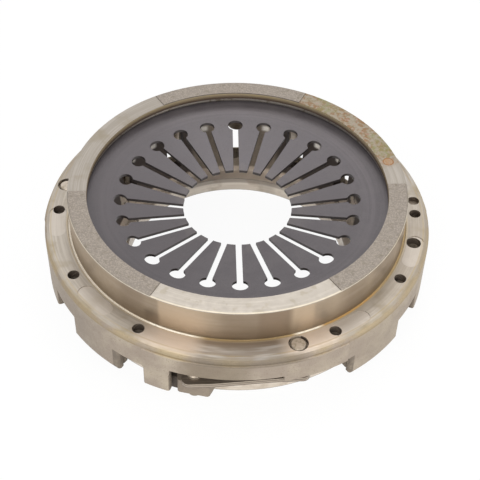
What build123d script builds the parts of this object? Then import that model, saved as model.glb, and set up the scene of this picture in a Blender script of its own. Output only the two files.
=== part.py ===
"""Clutch pressure plate of the pull type, for a flywheel with nine cover bolts.

Frame: +Z up along the clutch axis, away from the flywheel. The origin lies on that axis, in
the plane of the cover's feet, where the cover meets the flywheel. Lengths in millimetres.
The free state is modelled: the pressure plate hangs lowest and the straps are slightly bent.
"""

import os
from math import cos, hypot, radians, sin, tan

from build123d import *

# Three-fold layout: each third of the cover carries three bolts, and its middle one points here
THIRDS = 3
FIRST_THIRD_ANGLE = -30.0

# Diaphragm spring
FINGERS = 24
FIRST_SLOT_ANGLE = -88.73
SPRING_OUTER_R = 121.0
SPRING_TIP_R = 42.4
SPRING_THICKNESS = 2.4
SPRING_CONE = 8.5
SPRING_REST_Z = 56.5  # upper face at the keyholes
KEYHOLE_INSET = 30.1
KEYHOLE_WIDTH = 12.2
KEYHOLE_LENGTH = 10.6
SLOT_WIDTH = 4.6
SPRING_EDGE_CHAMFER = 0.6

# Fulcrum ring, a wire between the cover's lip and the spring
FULCRUM_INSET = 1.8
FULCRUM_WIRE_R = 2.3
FULCRUM_WIRE_SIDES = 12
FULCRUM_GAP_ANGLE = 1.5
SEAT_CLEARANCE = 0.03

# Cover, heights above its feet
SKIRT_EDGE_Z = 18.4  # lower edge of the skirt between the feet, and of the bolt bosses
WINDOW_EDGE_Z = 23.8  # lower edge of the skirt over the straps
STRAP_PAD_Z = 16.5  # seat of the strap packs under the flange
FLANGE_TOP_Z = 43.4
FLANGE_THICKNESS = 6.0
PAD_HEIGHT = 0.6  # the ring's cast pads stand this far above its machined top
GROOVE_DEPTH = 1.0
LIP_THICKNESS = 5.2

# Cover, sizes across: the ring's wall stands around the spring, and the flange around the ring
LIP_REACH = 5.0  # over the spring's edge
SPRING_ROOM = 4.3  # around the spring's edge
RING_WALL = 5.4
GROOVE_WIDTH = 1.8
FLANGE_WIDTH = 17.9
SKIRT_THICKNESS = 5.4
FLANGE_FILLET = 4.0
RING_FILLET = 1.6
INNER_CHAMFER = 2.0
BAND_DEPTH = 1.0  # the skirt is this much thicker over each strap
BAND_TOP_DROP = 5.0  # and that band starts this far below the flange's top
BAND_CHAMFER = 0.8
FOOT_FILLET = 2.0

# Angles measured from the middle bolt of a third
FOOT_SPANS = [(-26.5, -5.9), (5.9, 25.5), (33.5, 41.5)]
WINDOW_SPAN = (41.5, 73.0)
BAND_SPAN = (33.5, 92.0)
PAD_SPAN = (-26.0, 32.0)
RECESS_SPANS = [(8.5, 17.0), (-28.5, -20.5)]

# Bolts, rivets and other holes of the cover, set in from the skirt's outside
BOLT_INSET = 10.4
BOLT_STEP = 30.0
BOLT_HOLE_R = 4.5
BOSS_R = 8.3
STRAP_INSET = 10.4
COVER_RIVET_ANGLE = -42.0
STRAP_BOSS_R = 10.0
COUNTERBORE_R = 7.2
COUNTERBORE_DEPTH = 3.4
DOWEL_HOLE_R = 5.6
DOWEL_INSET = 11.2
DOWEL_ANGLE = 16.7
BALANCE_HOLE_R = 4.6
BALANCE_HOLE_DEPTH = 4.5
BALANCE_INSET = 9.2
BALANCE_ANGLE = 36.1
RECESS_R = 6.5
RECESS_INSET = 9.9
RECESS_DEPTH = 0.5

# Pressure plate
FRICTION_FACE_Z = -13.9
RIM_THICKNESS = 12.3
RIM_ROOM = 13.6  # between the plate's rim and the inside of the feet
LINING_WIDTH = 42.8
FRICTION_CHAMFER = 1.2
RIDGE_INSET = 15.0  # from the spring's edge
RIDGE_CREST_R = 3.0
RIDGE_FOOT_WIDTH = 15.0
RIDGE_FOOT_FILLET = 4.0
BACK_RISE = 2.5  # the cast back climbs this much from the rim to the ridge
POSTS = 12
POST_GAP = 16.6
POST_GAP_FLOOR_Z = 13.0
LUG_ANGLE = -72.35
LUG_TOP_Z = 8.4
LUG_BOTTOM_Z = -5.3
LUG_REACH = 5.4  # beyond the rivet
LUG_WIDTH = 23.5
LUG_ROOT_WIDTH = 34.0
LUG_ROOT_DEPTH = 8.0
LUG_FILLET = 2.5

# Drive straps: packs of thin leaves from the cover to the lugs
LEAVES = 4
LEAF_THICKNESS = 1.0
LEAF_WIDTH = 20.0
LEAF_OVERHANG = 9.6  # beyond a rivet
LEAF_CORNER_R = 5.5
LEAF_FLAT = 12.0  # flat stretch from a rivet towards the middle
LEAF_BEND_R = 60.0

# Rivets
RIVET_R = 3.5
RIVET_CLEARANCE = 0.05
HEAD_R = 5.8
HEAD_HEIGHT = 2.8
TAIL_R = 5.4
TAIL_HEIGHT = 2.4
HEAD_CHAMFER = 0.8

os.makedirs("parts", exist_ok=True)

THIRD_ANGLES = [FIRST_THIRD_ANGLE + 360.0 / THIRDS * third for third in range(THIRDS)]
CONE_SLOPE = tan(radians(SPRING_CONE))
CONE_COS = cos(radians(SPRING_CONE))
PACK_THICKNESS = LEAVES * LEAF_THICKNESS
RIVET_HOLE_R = RIVET_R + RIVET_CLEARANCE

# radii, from the spring outwards
KEYHOLE_CIRCLE_R = SPRING_OUTER_R - KEYHOLE_INSET
RIDGE_CIRCLE_R = SPRING_OUTER_R - RIDGE_INSET
FULCRUM_R = SPRING_OUTER_R - FULCRUM_INSET
RING_INNER_R = SPRING_OUTER_R - LIP_REACH
RING_WALL_INNER_R = SPRING_OUTER_R + SPRING_ROOM
RING_OUTER_R = RING_WALL_INNER_R + RING_WALL
GROOVE_OUTER_R = RING_OUTER_R + GROOVE_WIDTH
SKIRT_OUTER_R = GROOVE_OUTER_R + FLANGE_WIDTH
SKIRT_INNER_R = SKIRT_OUTER_R - SKIRT_THICKNESS
BAND_R = SKIRT_OUTER_R + BAND_DEPTH
BOLT_CIRCLE_R = SKIRT_OUTER_R - BOLT_INSET
STRAP_CIRCLE_R = SKIRT_OUTER_R - STRAP_INSET
RIM_OUTER_R = SKIRT_INNER_R - RIM_ROOM
BORE_R = RIM_OUTER_R - LINING_WIDTH
LUG_OUTER_R = STRAP_CIRCLE_R + LUG_REACH

# heights
FLANGE_UNDER_Z = FLANGE_TOP_Z - FLANGE_THICKNESS
COUNTERBORE_FLOOR_Z = FLANGE_TOP_Z - COUNTERBORE_DEPTH
RIM_TOP_Z = FRICTION_FACE_Z + RIM_THICKNESS
RIDGE_FOOT_Z = RIM_TOP_Z + BACK_RISE


def spring_top(radius):
    """Height of the spring's upper face at a radius."""
    return SPRING_REST_Z + (radius - KEYHOLE_CIRCLE_R) * CONE_SLOPE


# the plate's ridge carries the spring, the spring the wire, and the wire the cover's lip
FULCRUM_Z = spring_top(FULCRUM_R) + (FULCRUM_WIRE_R + SEAT_CLEARANCE) / CONE_COS
LIP_UNDER_Z = FULCRUM_Z + FULCRUM_WIRE_R + SEAT_CLEARANCE
MACHINED_TOP_Z = LIP_UNDER_Z + LIP_THICKNESS
PAD_TOP_Z = MACHINED_TOP_Z + PAD_HEIGHT
CREST_Z = spring_top(RIDGE_CIRCLE_R) - (SPRING_THICKNESS + RIDGE_CREST_R + SEAT_CLEARANCE) / CONE_COS


def on_circle(radius, angle):
    """Point at a radius and an angle from +X."""
    return (radius * cos(radians(angle)), radius * sin(radians(angle)))


def in_thirds(radius, offset):
    """The points of a circle that lie at an offset from each third's middle bolt."""
    return [on_circle(radius, middle + offset) for middle in THIRD_ANGLES]


def radial_plane(angle):
    """Plane through the clutch axis at an angle: its x runs outwards and its y up."""
    return Plane(origin=(0, 0, 0), x_dir=(*on_circle(1, angle), 0), z_dir=(*on_circle(1, angle - 90), 0))


def ring_sectors(inner, outer, span):
    """The same stretch of a ring, between two radii and two angles, in every third."""
    with BuildSketch() as sectors:
        for middle in THIRD_ANGLES:
            with BuildLine():
                inside = CenterArc((0, 0), inner, middle + span[0], span[1] - span[0])
                outside = CenterArc((0, 0), outer, middle + span[0], span[1] - span[0])
                Line(inside @ 0, outside @ 0)
                Line(inside @ 1, outside @ 1)
            make_face()
    return sectors.sketch


def bent_slots(radius, half_width, span):
    """A slot with round ends along a circle, in every third."""
    with BuildSketch() as slots:
        for middle in THIRD_ANGLES:
            with BuildLine(mode=Mode.PRIVATE) as centre_line:
                CenterArc((0, 0), radius, middle + span[0], span[1] - span[0])
            SlotArc(centre_line.edge(), 2 * half_width)
    return slots.sketch


BOLT_POINTS = [
    on_circle(BOLT_CIRCLE_R, middle + side * BOLT_STEP)
    for middle in THIRD_ANGLES
    for side in (-1, 0, 1)
]
COVER_RIVET_POINTS = in_thirds(STRAP_CIRCLE_R, COVER_RIVET_ANGLE)
LUG_RIVET_POINTS = in_thirds(STRAP_CIRCLE_R, LUG_ANGLE)

# Cover: raised ring, bolting flange and skirt in one turned section
with BuildPart() as cover:
    with BuildSketch(Plane.XZ) as cover_section:
        with BuildLine():
            Polyline(
                (SKIRT_INNER_R, SKIRT_EDGE_Z),
                (SKIRT_OUTER_R, SKIRT_EDGE_Z),
                (SKIRT_OUTER_R, FLANGE_TOP_Z),
                (GROOVE_OUTER_R, FLANGE_TOP_Z),
                (GROOVE_OUTER_R, FLANGE_TOP_Z - GROOVE_DEPTH),
                (RING_OUTER_R, FLANGE_TOP_Z - GROOVE_DEPTH),
                (RING_OUTER_R, MACHINED_TOP_Z),
                (RING_INNER_R, MACHINED_TOP_Z),
                (RING_INNER_R, LIP_UNDER_Z),
                (RING_WALL_INNER_R, LIP_UNDER_Z),
                (RING_WALL_INNER_R, FLANGE_UNDER_Z),
                (SKIRT_INNER_R, FLANGE_UNDER_Z),
                close=True,
            )
        make_face()
        corners = cover_section.vertices()
        fillet(corners.sort_by_distance((SKIRT_OUTER_R, FLANGE_TOP_Z, 0))[0], FLANGE_FILLET)
        fillet(corners.sort_by_distance((RING_OUTER_R, MACHINED_TOP_Z, 0))[0], RING_FILLET)
        chamfer(corners.sort_by_distance((SKIRT_INNER_R, FLANGE_UNDER_Z, 0))[0], INNER_CHAMFER)
    revolve(axis=Axis.Z)

    # cast pads on the ring's top, one in each third
    for middle in THIRD_ANGLES:
        with BuildSketch(radial_plane(middle + PAD_SPAN[0])) as pad_section:
            with BuildLine():
                Polyline(
                    (RING_INNER_R, LIP_UNDER_Z),
                    (RING_OUTER_R, LIP_UNDER_Z),
                    (RING_OUTER_R, PAD_TOP_Z),
                    (RING_INNER_R, PAD_TOP_Z),
                    close=True,
                )
            make_face()
            corner = pad_section.vertices().sort_by_distance((RING_OUTER_R, PAD_TOP_Z, 0))[0]
            fillet(corner, RING_FILLET)
        revolve(axis=Axis.Z, revolution_arc=PAD_SPAN[1] - PAD_SPAN[0])

    # feet that stand on the flywheel
    with BuildSketch():
        for foot_span in FOOT_SPANS:
            outer = BAND_R if foot_span[0] >= BAND_SPAN[0] else SKIRT_OUTER_R
            add(ring_sectors(SKIRT_INNER_R, outer, foot_span))
        fillet(vertices(), FOOT_FILLET)
    extrude(amount=SKIRT_EDGE_Z)

    # bosses under the flange for the bolts and for the straps
    with BuildSketch(Plane.XY.offset(SKIRT_EDGE_Z)):
        with Locations(BOLT_POINTS):
            Circle(BOSS_R)
    extrude(amount=FLANGE_UNDER_Z - SKIRT_EDGE_Z)
    with BuildSketch(Plane.XY.offset(STRAP_PAD_Z)):
        with Locations(COVER_RIVET_POINTS):
            Circle(STRAP_BOSS_R)
    extrude(amount=FLANGE_UNDER_Z - STRAP_PAD_Z)

    # thicker band of skirt over each strap
    for middle in THIRD_ANGLES:
        with BuildSketch(radial_plane(middle + BAND_SPAN[0])) as band_section:
            with BuildLine():
                Polyline(
                    (SKIRT_INNER_R, SKIRT_EDGE_Z),
                    (BAND_R, SKIRT_EDGE_Z),
                    (BAND_R, FLANGE_TOP_Z - BAND_TOP_DROP),
                    (SKIRT_INNER_R, FLANGE_TOP_Z - BAND_TOP_DROP),
                    close=True,
                )
            make_face()
            corner = band_section.vertices().sort_by_distance((BAND_R, FLANGE_TOP_Z - BAND_TOP_DROP, 0))[0]
            chamfer(corner, BAND_CHAMFER)
        revolve(axis=Axis.Z, revolution_arc=BAND_SPAN[1] - BAND_SPAN[0])

    # windows over the straps
    with BuildSketch(Plane.XY.offset(SKIRT_EDGE_Z)):
        add(ring_sectors(SKIRT_INNER_R, BAND_R, WINDOW_SPAN))
    extrude(amount=WINDOW_EDGE_Z - SKIRT_EDGE_Z, mode=Mode.SUBTRACT)

    # shallow flats in the flange's top
    with BuildSketch(Plane.XY.offset(FLANGE_TOP_Z)):
        for recess_span in RECESS_SPANS:
            add(bent_slots(SKIRT_OUTER_R - RECESS_INSET, RECESS_R, recess_span))
    extrude(amount=-RECESS_DEPTH, mode=Mode.SUBTRACT)

    # bolt holes, and stepped holes for the strap rivets
    with Locations(*[(*point, FLANGE_TOP_Z) for point in BOLT_POINTS]):
        Hole(BOLT_HOLE_R, depth=FLANGE_TOP_Z)
    with Locations(*[(*point, FLANGE_TOP_Z) for point in COVER_RIVET_POINTS]):
        CounterBoreHole(RIVET_HOLE_R, COUNTERBORE_R, COUNTERBORE_DEPTH, depth=FLANGE_TOP_Z)

    # dowel hole and balance drilling beside the first third's middle bolt
    with Locations((*on_circle(SKIRT_OUTER_R - DOWEL_INSET, FIRST_THIRD_ANGLE + DOWEL_ANGLE), FLANGE_TOP_Z)):
        Hole(DOWEL_HOLE_R, depth=FLANGE_THICKNESS)
    with Locations((*on_circle(SKIRT_OUTER_R - BALANCE_INSET, FIRST_THIRD_ANGLE + BALANCE_ANGLE), FLANGE_TOP_Z)):
        Hole(BALANCE_HOLE_R, depth=BALANCE_HOLE_DEPTH)
cover.part.label = "cover"
export_step(cover.part, "parts/cover.step")

# Fulcrum ring: a bent wire with a small gap between its ends
with BuildPart() as fulcrum_ring:
    with BuildSketch(Plane.XZ):
        with Locations((FULCRUM_R, FULCRUM_Z)):
            RegularPolygon(FULCRUM_WIRE_R, FULCRUM_WIRE_SIDES)
    revolve(axis=Axis.Z, revolution_arc=360.0 - FULCRUM_GAP_ANGLE)
fulcrum_ring.part.label = "fulcrum_ring"
export_step(fulcrum_ring.part, "parts/fulcrum_ring.step")

# Diaphragm spring: a conical disc cut into fingers by slots that end in keyholes
with BuildPart() as diaphragm_spring:
    drop = SPRING_THICKNESS / CONE_COS
    with BuildSketch(Plane.XZ) as spring_section:
        with BuildLine():
            Polyline(
                (SPRING_TIP_R, spring_top(SPRING_TIP_R) - drop),
                (SPRING_OUTER_R, spring_top(SPRING_OUTER_R) - drop),
                (SPRING_OUTER_R, spring_top(SPRING_OUTER_R)),
                (SPRING_TIP_R, spring_top(SPRING_TIP_R)),
                close=True,
            )
        make_face()
        chamfer(spring_section.vertices().group_by(Axis.X)[-1], SPRING_EDGE_CHAMFER)
    revolve(axis=Axis.Z)
    with BuildSketch(Plane.XY.offset(spring_top(SPRING_TIP_R) - 2 * drop)):
        with PolarLocations(KEYHOLE_CIRCLE_R, FINGERS, start_angle=FIRST_SLOT_ANGLE):
            Ellipse(KEYHOLE_LENGTH / 2, KEYHOLE_WIDTH / 2)
            Rectangle(KEYHOLE_CIRCLE_R - SPRING_TIP_R / 2, SLOT_WIDTH, align=(Align.MAX, Align.CENTER))
    extrude(amount=SPRING_OUTER_R * CONE_SLOPE, mode=Mode.SUBTRACT)
diaphragm_spring.part.label = "diaphragm_spring"
export_step(diaphragm_spring.part, "parts/diaphragm_spring.step")

# Pressure plate: friction ring, castellated fulcrum ridge and three lugs
with BuildPart() as pressure_plate:
    with BuildSketch(Plane.XZ) as plate_section:
        with BuildLine():
            inner_foot = RIDGE_CIRCLE_R - RIDGE_FOOT_WIDTH / 2
            outer_foot = RIDGE_CIRCLE_R + RIDGE_FOOT_WIDTH / 2
            crest = CenterArc((RIDGE_CIRCLE_R, CREST_Z), RIDGE_CREST_R, 0, 180)
            Polyline(
                crest @ 0,
                (outer_foot, RIDGE_FOOT_Z),
                (RIM_OUTER_R, RIM_TOP_Z),
                (RIM_OUTER_R, FRICTION_FACE_Z),
                (BORE_R, FRICTION_FACE_Z),
                (BORE_R, RIM_TOP_Z),
                (inner_foot, RIDGE_FOOT_Z),
                crest @ 1,
            )
        make_face()
        corners = plate_section.vertices()
        for foot in (inner_foot, outer_foot):
            fillet(corners.sort_by_distance((foot, RIDGE_FOOT_Z, 0))[0], RIDGE_FOOT_FILLET)
        for edge_r in (BORE_R, RIM_OUTER_R):
            chamfer(corners.sort_by_distance((edge_r, FRICTION_FACE_Z, 0))[0], FRICTION_CHAMFER)
    revolve(axis=Axis.Z)

    # round-bottomed gaps between the posts of the ridge
    for post in range(POSTS):
        gap_angle = FIRST_SLOT_ANGLE + 360.0 / POSTS * post
        outwards = Plane(origin=(0, 0, 0), x_dir=(*on_circle(1, gap_angle + 90), 0), z_dir=(*on_circle(1, gap_angle), 0))
        with BuildSketch(outwards.offset(BORE_R)):
            with Locations((0, POST_GAP_FLOOR_Z + POST_GAP / 2)):
                Circle(POST_GAP / 2)
                Rectangle(POST_GAP, CREST_Z, align=(Align.CENTER, Align.MIN))
        extrude(amount=RIM_OUTER_R - BORE_R, mode=Mode.SUBTRACT)

    # lugs for the straps
    with BuildSketch(Plane.XY.offset(LUG_BOTTOM_Z)):
        for middle in THIRD_ANGLES:
            with Locations(Location((0, 0, 0), (0, 0, middle + LUG_ANGLE))):
                Polygon(
                    (RIM_OUTER_R - LUG_ROOT_DEPTH, -LUG_ROOT_WIDTH / 2),
                    (LUG_OUTER_R, -LUG_WIDTH / 2),
                    (LUG_OUTER_R, LUG_WIDTH / 2),
                    (RIM_OUTER_R - LUG_ROOT_DEPTH, LUG_ROOT_WIDTH / 2),
                    align=None,
                )
    extrude(amount=LUG_TOP_Z - LUG_BOTTOM_Z)
    lug_corners = pressure_plate.edges().filter_by(Axis.Z).filter_by(
        lambda edge: abs(Vector(edge.center().X, edge.center().Y).length - hypot(LUG_OUTER_R, LUG_WIDTH / 2)) < LUG_FILLET
    )
    fillet(lug_corners, LUG_FILLET)
    with Locations(*[(*point, LUG_TOP_Z) for point in LUG_RIVET_POINTS]):
        Hole(RIVET_HOLE_R, depth=LUG_TOP_Z - LUG_BOTTOM_Z)
pressure_plate.part.label = "pressure_plate"
export_step(pressure_plate.part, "parts/pressure_plate.step")

# Drive straps: every pack has its own leaves and its own two rivets
STRAP_SPAN = 2 * STRAP_CIRCLE_R * sin(radians(COVER_RIVET_ANGLE - LUG_ANGLE) / 2)
STRAP_DROP = STRAP_PAD_Z - PACK_THICKNESS - LUG_TOP_Z
for third, middle in enumerate(THIRD_ANGLES, start=1):
    cover_point = on_circle(STRAP_CIRCLE_R, middle + COVER_RIVET_ANGLE)
    lug_point = on_circle(STRAP_CIRCLE_R, middle + LUG_ANGLE)
    along = (Vector(*lug_point) - Vector(*cover_point)).normalized()
    side = Plane(origin=(*cover_point, 0), x_dir=along, z_dir=along.cross(Vector(0, 0, 1)))
    top_view = Plane(origin=(*cover_point, 0), x_dir=along, z_dir=(0, 0, 1))
    for leaf in range(LEAVES):
        top_z = STRAP_PAD_Z - leaf * LEAF_THICKNESS
        with BuildPart() as strap_leaf:
            with BuildSketch(side):
                with BuildLine():
                    upper = FilletPolyline(
                        (-LEAF_OVERHANG, top_z),
                        (LEAF_FLAT, top_z),
                        (STRAP_SPAN - LEAF_FLAT, top_z - STRAP_DROP),
                        (STRAP_SPAN + LEAF_OVERHANG, top_z - STRAP_DROP),
                        radius=LEAF_BEND_R,
                    )
                    lower = FilletPolyline(
                        (-LEAF_OVERHANG, top_z - LEAF_THICKNESS),
                        (LEAF_FLAT, top_z - LEAF_THICKNESS),
                        (STRAP_SPAN - LEAF_FLAT, top_z - STRAP_DROP - LEAF_THICKNESS),
                        (STRAP_SPAN + LEAF_OVERHANG, top_z - STRAP_DROP - LEAF_THICKNESS),
                        radius=LEAF_BEND_R,
                    )
                    Line(upper @ 0, lower @ 0)
                    Line(upper @ 1, lower @ 1)
                make_face()
            extrude(amount=LEAF_WIDTH / 2, both=True)
            with BuildSketch(top_view):
                with Locations((STRAP_SPAN / 2, 0)):
                    RectangleRounded(STRAP_SPAN + 2 * LEAF_OVERHANG, LEAF_WIDTH, LEAF_CORNER_R)
                with Locations((0, 0), (STRAP_SPAN, 0)):
                    Circle(RIVET_HOLE_R, mode=Mode.SUBTRACT)
            extrude(amount=FLANGE_TOP_Z, mode=Mode.INTERSECT)
        strap_leaf.part.label = f"strap_{third}_leaf_{leaf + 1}"
        export_step(strap_leaf.part, f"parts/{strap_leaf.part.label}.step")

    rivets = {
        "cover": (cover_point, COUNTERBORE_FLOOR_Z, STRAP_PAD_Z - PACK_THICKNESS),
        "lug": (lug_point, LUG_TOP_Z + PACK_THICKNESS, LUG_BOTTOM_Z),
    }
    for end, (point, head_seat, tail_seat) in rivets.items():
        with BuildPart() as rivet:
            with Locations((*point, head_seat)):
                Cylinder(HEAD_R, HEAD_HEIGHT, align=(Align.CENTER, Align.CENTER, Align.MIN))
                Cylinder(RIVET_R, head_seat - tail_seat, align=(Align.CENTER, Align.CENTER, Align.MAX))
            with Locations((*point, tail_seat)):
                Cylinder(TAIL_R, TAIL_HEIGHT, align=(Align.CENTER, Align.CENTER, Align.MAX))
            ends = rivet.edges().group_by(Axis.Z)
            chamfer(ends[0] + ends[-1], HEAD_CHAMFER)
        rivet.part.label = f"strap_{third}_{end}_rivet"
        export_step(rivet.part, f"parts/{rivet.part.label}.step")
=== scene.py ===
"""Looks of the clutch pressure plate: its bending pieces, finishes, light and camera.

Everything lies in the frame of the solids: metres, +Z up along the clutch axis, the origin in the
plane of the cover's feet. Sizes written in millimetres are multiplied by MM. Directions about the
axis are written in degrees from +X, so that the front of the cover is at -90 and its far side at 90.
"""

import logging
import math
from dataclasses import dataclass, field
from enum import Enum
from typing import Mapping, Sequence

import bpy
import numpy as np
from mathutils import Matrix, Vector


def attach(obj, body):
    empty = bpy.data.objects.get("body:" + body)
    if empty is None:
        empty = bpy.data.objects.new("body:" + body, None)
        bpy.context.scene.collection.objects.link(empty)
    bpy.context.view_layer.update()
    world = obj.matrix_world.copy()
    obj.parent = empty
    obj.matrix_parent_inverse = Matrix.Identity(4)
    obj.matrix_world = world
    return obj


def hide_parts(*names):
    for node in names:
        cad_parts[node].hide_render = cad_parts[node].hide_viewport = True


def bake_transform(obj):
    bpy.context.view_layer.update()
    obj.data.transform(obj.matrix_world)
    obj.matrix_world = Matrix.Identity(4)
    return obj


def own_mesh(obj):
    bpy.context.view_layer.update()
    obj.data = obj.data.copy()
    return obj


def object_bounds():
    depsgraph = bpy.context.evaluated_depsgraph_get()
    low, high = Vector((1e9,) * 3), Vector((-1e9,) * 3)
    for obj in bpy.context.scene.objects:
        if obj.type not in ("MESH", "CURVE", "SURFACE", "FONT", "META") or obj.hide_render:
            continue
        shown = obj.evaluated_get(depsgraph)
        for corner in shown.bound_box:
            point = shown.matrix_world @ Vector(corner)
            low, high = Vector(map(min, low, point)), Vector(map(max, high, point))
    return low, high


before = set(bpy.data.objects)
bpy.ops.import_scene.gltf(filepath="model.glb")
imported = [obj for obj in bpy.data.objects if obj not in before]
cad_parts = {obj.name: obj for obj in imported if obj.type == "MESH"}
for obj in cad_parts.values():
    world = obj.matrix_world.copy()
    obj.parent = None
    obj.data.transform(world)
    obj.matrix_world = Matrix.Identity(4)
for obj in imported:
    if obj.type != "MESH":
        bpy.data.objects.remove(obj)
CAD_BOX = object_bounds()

MM = 0.001
LOG = logging.getLogger("clutch_pressure_plate")

Socket = bpy.types.NodeSocket
Tree = bpy.types.NodeTree
Material = bpy.types.Material
Piece = bpy.types.Object

Mask = Socket | float
Rgba = tuple[float, float, float, float]
Tone = Socket | str
Layer = tuple[Mask, Tone]
# low, high and softness of a mask, where None leaves that side open
Span = tuple[float | None, float | None, float]
# vertices and quads
Block = tuple[np.ndarray, np.ndarray]

# middles of the cover's thirds, and the directions halfway between them, beside the strap packs
THIRDS = (-30.0, 90.0, 210.0)
STRAP_MIDDLES = (-90.0, 30.0, 150.0)

# points closer than this are one point
MERGE = 0.01 * MM
# edges shade smoothly below the first angle and are rounded above the second
SMOOTH_BELOW = math.radians(32)
ROUND_ABOVE = math.radians(40)
ROUND_SEGMENTS = 2
# how a material looks where its nodes aren't read, as in the solid view
PLAIN_GREY: Rgba = (0.5, 0.5, 0.5, 1.0)


class Body(Enum):
    """The two rigid bodies of the assembly."""

    COVER = "cover_assembly"
    PLATE = "plate_assembly"


# --------------------------------------------------------------------------- shader tools


def linear(hex_colour: str) -> Rgba:
    """Turn an sRGB hex colour into linear RGBA.

    Args:
        hex_colour: Six hex digits after a "#".

    Returns:
        Linear red, green, blue and an alpha of 1.
    """
    values = [int(hex_colour[i : i + 2], 16) / 255.0 for i in (1, 3, 5)]
    red, green, blue = (v / 12.92 if v <= 0.04045 else ((v + 0.055) / 1.055) ** 2.4 for v in values)
    return red, green, blue, 1.0


def add_node(
    tree: Tree,
    kind: str,
    inputs: Mapping[str | int, object] | None = None,
    output: str | int = 0,
    **settings: object,
) -> Socket | None:
    """Add one shader node with its settings and links.

    Args:
        tree: Node tree that gets the node.
        kind: Type name of the node, without "ShaderNode".
        inputs: Values, sockets or hex colours for its inputs, by name or place.
        output: Which output to hand back.
        **settings: The node's own properties.

    Returns:
        The chosen output, or None for a node that has none.
    """
    node = tree.nodes.new("ShaderNode" + kind)
    for name, value in settings.items():
        setattr(node, name, value)
    for key, value in (inputs or {}).items():
        if isinstance(value, bpy.types.NodeSocket):
            tree.links.new(value, node.inputs[key])
        else:
            node.inputs[key].default_value = linear(value) if isinstance(value, str) else value
    return node.outputs[output] if len(node.outputs) else None


@dataclass(frozen=True)
class Patch:
    """A tone on one zone within a sector, whose middle, half span and soft edge are in degrees."""

    middle: float
    half: float
    soft: float
    strength: float
    tone: str


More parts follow.
